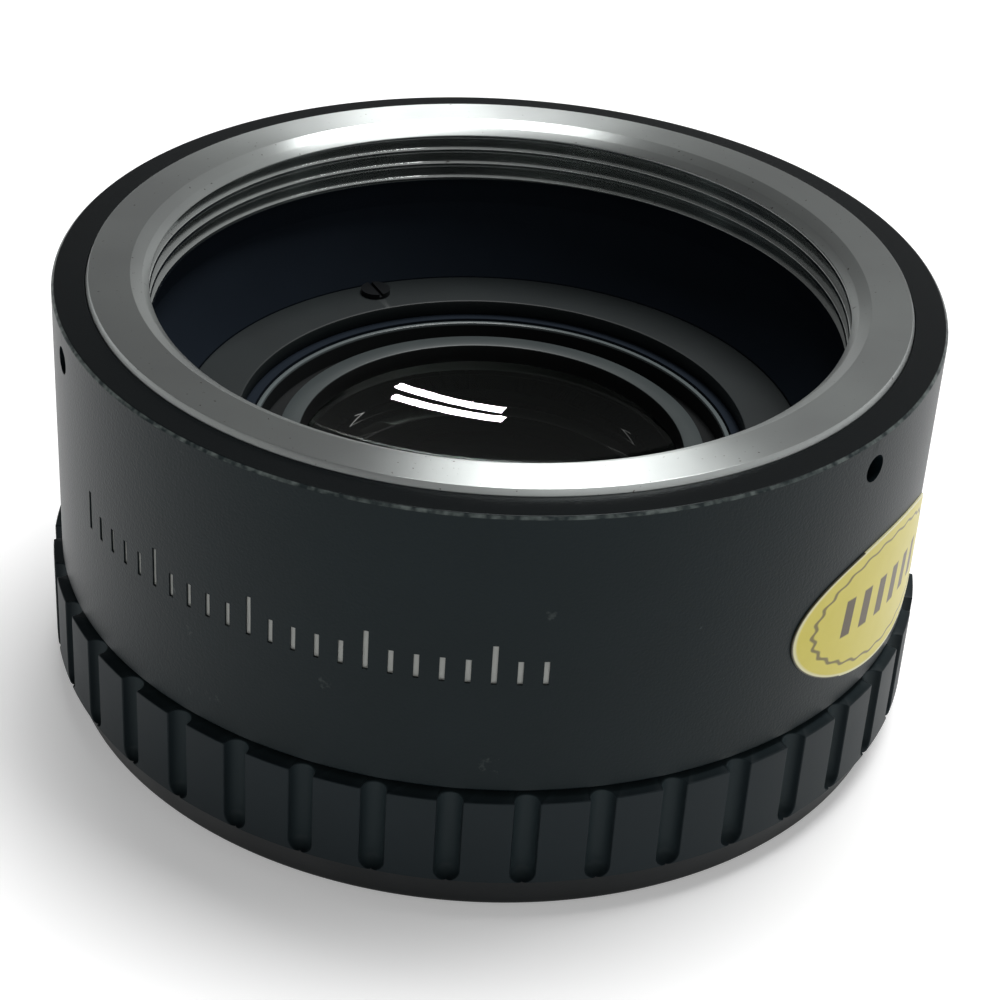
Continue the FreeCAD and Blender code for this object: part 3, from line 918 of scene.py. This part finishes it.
# %% Worn edge and scuffs
edge_place = add(tree, "Math", (axis_distance, split.outputs["Z"]))
edge_near = add(tree, "MapRange", (edge_place, EDGE_SUM - 0.03 * MM, EDGE_SUM - 0.01 * MM))
rub = add(tree, "TexNoise", {"Vector": place, "Scale": RUB_SCALE, "Detail": 5.0})
rubbed = add(tree, "MapRange", (rub, 0.4, 0.64, 0.12))
edge_worn = add(tree, "Math", (edge_near, rubbed), operation="MULTIPLY")
scuff = add(
    tree, "TexNoise",
    {"Vector": place, "Scale": SCUFF_SCALE, "Detail": 6.0, "Roughness": 0.6},
)
scuffed = add(tree, "MapRange", (scuff, 0.7, 0.74, 0.0, 0.3))
wear = add(tree, "Math", (edge_worn, scuffed), operation="MAXIMUM")

# %% Glossier top face, painted darker as painted shade
top_face_gloss_and_shade = add(tree, "MapRange", (split.outputs["Z"], rim_z - 0.04 * MM, rim_z - 0.01 * MM))
face_gloss = add(tree, "MapRange", (top_face_gloss_and_shade, 0.0, 1.0, 0.38, 0.27))
tree.links.new(face_gloss.outputs[0], shader.inputs["Roughness"])

# %% Paint in the marks
below = add(
    tree, "MapRange",
    (axis_distance, MARK_FLOOR_R - 0.02 * MM, MARK_FLOOR_R + 0.05 * MM, 1.0, 0.0),
)
mark_top = add(tree, "Math", (split.outputs["Z"], PAINT_TOP), operation="LESS_THAN")
mark_foot = add(tree, "Math", (split.outputs["Z"], PAINT_FOOT), operation="GREATER_THAN")
outside = add(tree, "Math", (axis_distance, PAINT_INSIDE_R), operation="GREATER_THAN")
paint = mark_top
for mask in (mark_foot, outside, below):
    paint = add(tree, "Math", (paint, mask), operation="MULTIPLY")
# The near black on the top face is painted shade; the white in the marks is paint.
layered(tree, shader, dye, (wear, "#59605e"), (top_face_gloss_and_shade, "#05080a"), (paint, "#dcded9"))
bump(tree, shader, blast, BLAST_HEIGHT, 0.8)
dress(anodised, "black_anodised", barrel)

# %% [markdown]
# ## Moulded cap plastic
# Black ABS from a lightly textured mould, with a soft grain that is coarser
# than the barrel's. The flutes' hollows are painted lighter, as painted light
# on their walls, and the smooth rim below them is painted darker, as painted
# shade. The distance from the axis and the height tell the three places apart.

# %% Cap finish
MOULD_GRAIN = 1 / (0.2 * MM)
MOULD_HEIGHT = 0.008 * MM
HANDLING_SCALE = 1 / (5 * MM)
HOLLOW_FROM = 0.7 * MM
HOLLOW_TO = 0.12 * MM

plastic, tree, shader = finish(
    "moulded_abs_black", Roughness=0.48, IOR=1.5, Specular_IOR_Level=0.11
)
place = add(tree, "TexCoord").outputs["Object"]
texture = add(tree, "TexNoise", {"Vector": place, "Scale": MOULD_GRAIN, "Detail": 3.0})
handling, colour = clouded(tree, place, HANDLING_SCALE, 4.0, "#1b2326", "#232b2f")

# %% Painted light in the hollows and painted shade on the rim
flat_place = add(tree, "VectorMath", (place, (1, 1, 0)), operation="MULTIPLY")
axis_distance = add(tree, "VectorMath", (flat_place,), operation="LENGTH").outputs["Value"]
hollow_deep = add(
    tree, "MapRange", (axis_distance, cap_r - HOLLOW_FROM, cap_r - HOLLOW_TO, 1.0, 0.0)
)
cap_height = add(tree, "SeparateXYZ", (place,)).outputs["Z"]
above_rim = add(tree, "Math", (cap_height, LAND_FOOT), operation="GREATER_THAN")
# The lighter colour in the flutes' hollows is painted light.
hollow_painted_light = add(tree, "Math", (hollow_deep, above_rim), operation="MULTIPLY")
# The darker colour on the rim below the flutes is painted shade.
rim_painted_shade = add(tree, "Math", (1.0, above_rim), operation="SUBTRACT")
layered(tree, shader, colour, (hollow_painted_light, "#2b3538"), (rim_painted_shade, "#0c1113"))
rub = add(tree, "MapRange", (handling, 0.0, 1.0, 0.4, 0.55))
tree.links.new(rub.outputs[0], shader.inputs["Roughness"])
bump(tree, shader, texture, MOULD_HEIGHT, 0.5)
dress(plastic, "cap_plastic", cap)

# %% [markdown]
# ## The dark inside
# The well is matt black so that it traps stray light. The flat plate has more
# sheen, and the rings of the lens block have a satin finish that turns grey
# where the light glances off them.

# %% Dark metals
DARK_CLOUD = 1 / (4 * MM)
DARK_GRAIN_HEIGHT = 0.005 * MM


def dark_metal(name, low, high, roughness, specular, grain_mm):
    """A black finish with a soft cloud of two near colours and a fine grain."""
    material, tree, shader = finish(
        name, Roughness=roughness, IOR=1.45, Specular_IOR_Level=specular
    )
    place = add(tree, "TexCoord").outputs["Object"]
    _, colour = clouded(tree, place, DARK_CLOUD, 3.0, low, high)
    tree.links.new(colour, shader.inputs["Base Color"])
    grain = add(tree, "TexNoise", {"Vector": place, "Scale": 1 / (grain_mm * MM), "Detail": 2.0})
    bump(tree, shader, grain, DARK_GRAIN_HEIGHT, 0.5)
    return material


well_black = dark_metal("light_trap_black", "#161d25", "#1b222b", 0.8, 0.1, 0.15)
plate_black = dark_metal("plate_satin_black", "#161b1c", "#1f2526", 0.5, 0.4, 0.15)
ring_grey = dark_metal("satin_anodised_grey", "#353b3c", "#404646", 0.4, 0.5, 0.1)

# %% [markdown]
# ## Two finishes on one turned part
# The grey ring's bore is painted near black, as painted shade in the recess,
# and the tube's lip top is painted light grey, as a painted highlight. The
# height alone tells these places apart, so the colour and the gloss change over
# a tenth of a millimetre of height.


# %% Bore and lip
def shade_by_height(material, low, high, below, above, gloss):
    """Blend a dark metal's colour and roughness between two heights; None keeps its colour."""
    tree = material.node_tree
    shader = tree.nodes["Principled BSDF"]
    own = shader.inputs["Base Color"].links[0].from_socket
    place = add(tree, "TexCoord").outputs["Object"]
    height = add(tree, "SeparateXYZ", (place,)).outputs["Z"]
    blend = add(tree, "MapRange", (height, low, high))
    ends = [linear(code) if code else own for code in (below, above)]
    colour = add(tree, "Mix", {"Factor": blend, 6: ends[0], 7: ends[1]}, data_type="RGBA")
    tree.links.new(colour.outputs[2], shader.inputs["Base Color"])
    rough = add(tree, "MapRange", (blend, 0.0, 1.0, *gloss))
    tree.links.new(rough.outputs[0], shader.inputs["Roughness"])


# The near black in the grey ring's bore is painted shade.
shade_by_height(
    ring_grey, retainer_top - 0.1 * MM, retainer_top - 0.03 * MM, "#0a0c0d", None, (0.6, 0.4)
)
cell_black = dark_metal("cell_satin_black", "#0b0d0e", "#121516", 0.45, 0.25, 0.1)
# The light grey on the tube's lip top is a painted highlight.
shade_by_height(
    cell_black, cell_top - 0.2 * MM, cell_top - 0.12 * MM, None, "#5b6263", (0.75, 0.2)
)
screw_steel = dark_metal("blackened_steel", "#0c0e10", "#131517", 0.4, 0.3, 0.1)

screws = [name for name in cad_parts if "screw" in name]
dress(well_black, "black_matt_metal", "inner_housing", "rear_baffle")
dress(plate_black, "black_matt_metal", plate)
dress(ring_grey, "black_satin_metal", retainer)
dress(cell_black, "black_satin_metal", cell)
dress(cell_black, "black_satin_metal", "cell_lock_ring", "rear_retaining_ring", "lens_spacer")
dress(screw_steel, "dark_steel", *screws)

# %% [markdown]
# ## Coated glass
# Optical glass with an IOR of 1.52. A thin coating cuts the plain reflection,
# and the specular tint carries what is left of it, a dim grey green.

# %% Glass
glass = finish(
    "coated_optical_glass", Roughness=0.0, IOR=1.52, Transmission_Weight=1.0,
    Base_Color=linear("#f2f5f2"), Specular_Tint=linear("#6f7d76"),
)[0]
dress(glass, "coated_glass", front_glass)

# %% [markdown]
# ## Glass inside the block
# The faces behind the front one are coated better and lie in the dark, so they
# reflect next to nothing. Their tint stands for the light that several thick
# elements take up. The front glass carries it on its rear side too.

# %% Glass inside the block
FACES_UP = 0.5

inner_glass = finish(
    "coated_inner_glass", Roughness=0.0, IOR=1.52, Transmission_Weight=1.0,
    Base_Color=linear("#71857a"), Specular_Tint=linear("#000000"), Specular_IOR_Level=0.02,
)[0]
dress(inner_glass, "coated_glass", "lens_element_2", "lens_element_3", "lens_element_4")
front_glass.data.materials.append(inner_glass)
for face in front_glass.data.polygons:
    face.material_index = 1 if face.normal.z < FACES_UP else 0

# %% [markdown]
# ## Printed sticker
# Coated yellow paper with a paler cut edge, a thin wavy border line, a row of
# plain bars in the middle, and a painted shadow that darkens its left end. The
# pattern is worked out from the UV map, which holds the flat paper's millimetres.

# %% Sticker finish
WAVES = 27
BORDER_AT = 0.82
BORDER_HALF = (0.01, 0.024)
BAR_PITCH_MM = 1.9
BAR_HALF = (0.22, 0.26)
BAR_HALF_HIGH_MM = (1.15, 1.25)
BARS_EACH_SIDE = 3
CUT_EDGE = (0.955, 0.975)
SHADOW_EDGE = (0.985, 0.992)
SHADOW_LEFT_OF = -0.45

paper, tree, shader = finish("yellow_coated_paper", Roughness=0.35, IOR=1.45)
flat_uv = add(tree, "UVMap", uv_map="paper")
centred = add(tree, "VectorMath", (flat_uv, (0.5, 0.5, 0)), operation="SUBTRACT")
uv_to_mm = (UV_SPAN / MM, UV_SPAN / MM, 0)
in_mm = add(tree, "VectorMath", (centred, uv_to_mm), operation="MULTIPLY")
where = add(tree, "SeparateXYZ", (in_mm,))
across, up = where.outputs["X"], where.outputs["Y"]
norm_x = add(tree, "Math", (across, STICKER_LONG / MM), operation="DIVIDE")
norm_y = add(tree, "Math", (up, STICKER_HIGH / MM), operation="DIVIDE")
oval_place = add(tree, "CombineXYZ", (norm_x, norm_y))
oval = add(tree, "VectorMath", (oval_place,), operation="LENGTH").outputs["Value"]

# %% Wavy border
turn_angle = add(tree, "Math", (norm_y, norm_x), operation="ARCTAN2")
wave_angle = add(tree, "Math", (turn_angle, float(WAVES)), operation="MULTIPLY")
wave = add(tree, "Math", (wave_angle,), operation="SINE")
wander = add(tree, "TexNoise", {"Vector": in_mm, "Scale": 0.9, "Detail": 2.0})
swing = add(tree, "MapRange", (wander, 0.0, 1.0, 0.002, 0.028))
wavy = add(tree, "Math", (wave, swing, oval), operation="MULTIPLY_ADD")
line_gap = add(tree, "Math", (wavy, BORDER_AT), operation="SUBTRACT")
line_off = add(tree, "Math", (line_gap,), operation="ABSOLUTE")
border = add(tree, "MapRange", (line_off, *BORDER_HALF, 1.0, 0.0))

# %% Bars
bar_phase = add(tree, "Math", (across, BAR_PITCH_MM), operation="DIVIDE")
bar_fraction = add(tree, "Math", (bar_phase,), operation="FRACT")
bar_middle = add(tree, "Math", (bar_fraction, 0.5), operation="SUBTRACT")
bar_off = add(tree, "Math", (bar_middle,), operation="ABSOLUTE")
bar_side = add(tree, "MapRange", (bar_off, *BAR_HALF, 1.0, 0.0))
up_off = add(tree, "Math", (up,), operation="ABSOLUTE")
bar_ends = add(tree, "MapRange", (up_off, *BAR_HALF_HIGH_MM, 1.0, 0.0))
across_off = add(tree, "Math", (across,), operation="ABSOLUTE")
row_end = BARS_EACH_SIDE * BAR_PITCH_MM
bar_row = add(tree, "Math", (across_off, row_end), operation="LESS_THAN")
bar = add(tree, "Math", (bar_side, bar_ends), operation="MULTIPLY")
bars = add(tree, "Math", (bar, bar_row), operation="MULTIPLY")

# %% Paper, cut edge and painted shadow
edge = add(tree, "MapRange", (oval, *CUT_EDGE))
_, field = clouded(tree, in_mm, 0.5, 3.0, "#d2c440", "#dccf58")
# A painted shadow along the sticker's left end.
shadow_side = add(tree, "Math", (norm_x, SHADOW_LEFT_OF), operation="LESS_THAN")
shadow_ring = add(tree, "MapRange", (oval, *SHADOW_EDGE))
painted_shadow = add(tree, "Math", (shadow_side, shadow_ring), operation="MULTIPLY")
layered(
    tree, shader, field,
    (edge, "#e2ddae"), (painted_shadow, "#4a4630"), (border, "#75682a"), (bars, "#4a3814"),
)
fibre = add(tree, "TexNoise", {"Vector": in_mm, "Scale": 4.0, "Detail": 3.0})
bump(tree, shader, fibre, 0.01 * MM, 0.4)
dress(paper, "sticker_paper", sticker)

# %% [markdown]
# ## Floor, backdrop and light
# A white sweep under a dim ceiling. The floor is white and evenly lit, so it
# fades into the white background, and it is what the barrel's dark sides
# reflect. A little glow, for rays that see it as it is, keeps it white near
# the object, and more of it further out hides where the floor ends.

# %% Floor
FLOOR_SIZE = 4.0
FLOOR_GAP = 0.02 * MM
SWEEP_GLOW = 0.3
SWEEP_FADE = (0.2, 0.8)

floor_shape = bmesh.new()
bmesh.ops.create_grid(floor_shape, x_segments=1, y_segments=1, size=FLOOR_SIZE / 2)
floor = placed("floor", as_mesh("floor", floor_shape))
floor.location.z = floor_z - FLOOR_GAP
sweep, tree, shader = finish(
    "white_sweep", Roughness=0.9, Base_Color=linear("#f2f2f2"), Emission_Color=(1, 1, 1, 1)
)


def seen_directly(tree):
    """1 for rays that show a thing as it is, from the camera, a mirror or glass."""
    rays = add(tree, "LightPath")
    seen = rays.outputs["Is Camera Ray"]
    for kind in ("Is Glossy Ray", "Is Transmission Ray"):
        seen = add(tree, "Math", (seen, rays.outputs[kind]), operation="MAXIMUM")
    return seen


sweep_place = add(tree, "TexCoord").outputs["Object"]
from_object = add(tree, "VectorMath", (sweep_place,), operation="LENGTH").outputs["Value"]
brighten = add(tree, "MapRange", (from_object, *SWEEP_FADE, SWEEP_GLOW))
glow = add(tree, "Math", (seen_directly(tree), brighten), operation="MULTIPLY")
tree.links.new(glow.outputs[0], shader.inputs["Emission Strength"])
sweep.cycles.emission_sampling = "NONE"
floor.data.materials.append(sweep)
print("floor side in metres:", FLOOR_SIZE)

# %% [markdown]
# ## The ceiling
# The world is white at the horizon and dims upwards, more on the left than on
# the right, as a room lit from one side does. The camera itself sees plain
# white.

# %% World
CEILING_LEFT = 0.08
CEILING_RIGHT = 0.34
SIDE_FADE = 0.5
HORIZON_FADE = (0.03, 0.25)

world = bpy.data.worlds.new("studio")
bpy.context.scene.world = world
world.use_nodes = True
tree = world.node_tree
background = tree.nodes["Background"]
direction = add(tree, "TexCoord").outputs["Generated"]
split = add(tree, "SeparateXYZ", (direction,))
sides = (split.outputs["X"], -SIDE_FADE, SIDE_FADE, CEILING_LEFT, CEILING_RIGHT)
dim = add(tree, "MapRange", sides)
ceiling = add(tree, "MapRange", (split.outputs["Z"], *HORIZON_FADE, 1.0, dim))
rays = add(tree, "LightPath")
seen = add(
    tree, "Mix", {"Factor": rays.outputs["Is Camera Ray"], 2: ceiling, 3: 1.0},
    data_type="FLOAT",
)
tree.links.new(seen.outputs[0], background.inputs["Strength"])
background.inputs["Color"].default_value = (1, 1, 1, 1)
print("ceiling strengths, left and right:", CEILING_LEFT, CEILING_RIGHT)

# %% [markdown]
# ## The overhead lamp
# One broad soft lamp hangs behind the object and a little to its right. It
# gives the chrome its white fans and the floor its shadow.

# %% Overhead lamp
OVERHEAD_PLACE = (0.195, 0.3, 1.15)
OVERHEAD_SIZE = (0.66, 0.5)
OVERHEAD_POWER = 13.8


def lamp(name, place, aim, size, power, colour="#ffffff"):
    """A rectangular area lamp at a place, aimed at a point."""
    data = bpy.data.lights.new(name, "AREA")
    data.shape = "RECTANGLE"
    data.size, data.size_y = size
    data.energy = power
    data.color = linear(colour)[:3]
    made = placed(name, data)
    away = Vector(place) - Vector(aim)
    made.rotation_euler = away.to_track_quat("Z", "Y").to_euler()
    made.location = place
    return made


middle = (0, 0, rim_z)
lamp("overhead_soft", OVERHEAD_PLACE, middle, OVERHEAD_SIZE, OVERHEAD_POWER)
print("overhead lamp in watts:", OVERHEAD_POWER)

# %% [markdown]
# ## The strip lamps
# Two thin tubes draw the double line in the front glass. Each end of a tube
# is found backwards: from the spot on the glass where the line ends, along
# the direction in which a ray from the camera leaves it. They would also
# light up the whole turned ring, so they are linked to the glass alone.

# %% Strip lamps
STRIP_DISTANCE = 1.0
STRIP_WIDTH = 0.022
STRIP_RADIANCE = 180.0
STRIP_COLOUR = "#ffeaf8"
STRIPS = {
    "strip_upper": (((-6.27, 8.21, 13.26), 78.8, 48.8), ((0.66, 6.96, 12.65), 91.1, 47.0)),
    "strip_lower": (((-6.45, 7.06, 13.1), 79.4, 46.3), ((0.7, 6.05, 12.53), 91.1, 45.0)),
}


def seen_from(spot_mm, azimuth, elevation):
    """The point at the strips' distance from a spot, at an azimuth and an elevation in degrees."""
    turn_z = math.radians(azimuth)
    lift = math.radians(elevation)
    level = math.cos(lift)
    away = Vector((math.cos(turn_z) * level, math.sin(turn_z) * level, math.sin(lift)))
    return Vector(spot_mm) * MM + away * STRIP_DISTANCE


only_glass = bpy.data.collections.new("lit_by_strips")
only_glass.objects.link(front_glass)
for name, ends in STRIPS.items():
    first, last = (seen_from(*end) for end in ends)
    run = last - first
    power = STRIP_RADIANCE * math.pi * STRIP_WIDTH * run.length
    strip = lamp(name, (first + last) / 2, middle, (run.length, STRIP_WIDTH), power, STRIP_COLOUR)
    out = ((first + last) / 2 - Vector(middle)).normalized()
    run.normalize()
    rise = out.cross(run).normalized()
    strip.rotation_euler = Matrix((run, rise, run.cross(rise))).transposed().to_euler()
    strip.light_linking.receiver_collection = only_glass
    print(name, "in millimetres:", round((last - first).length / MM))

# %% Finish
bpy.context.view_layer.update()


def plain(box):
    """A box as plain lists of numbers."""
    return [[float(value) for value in corner] for corner in box]
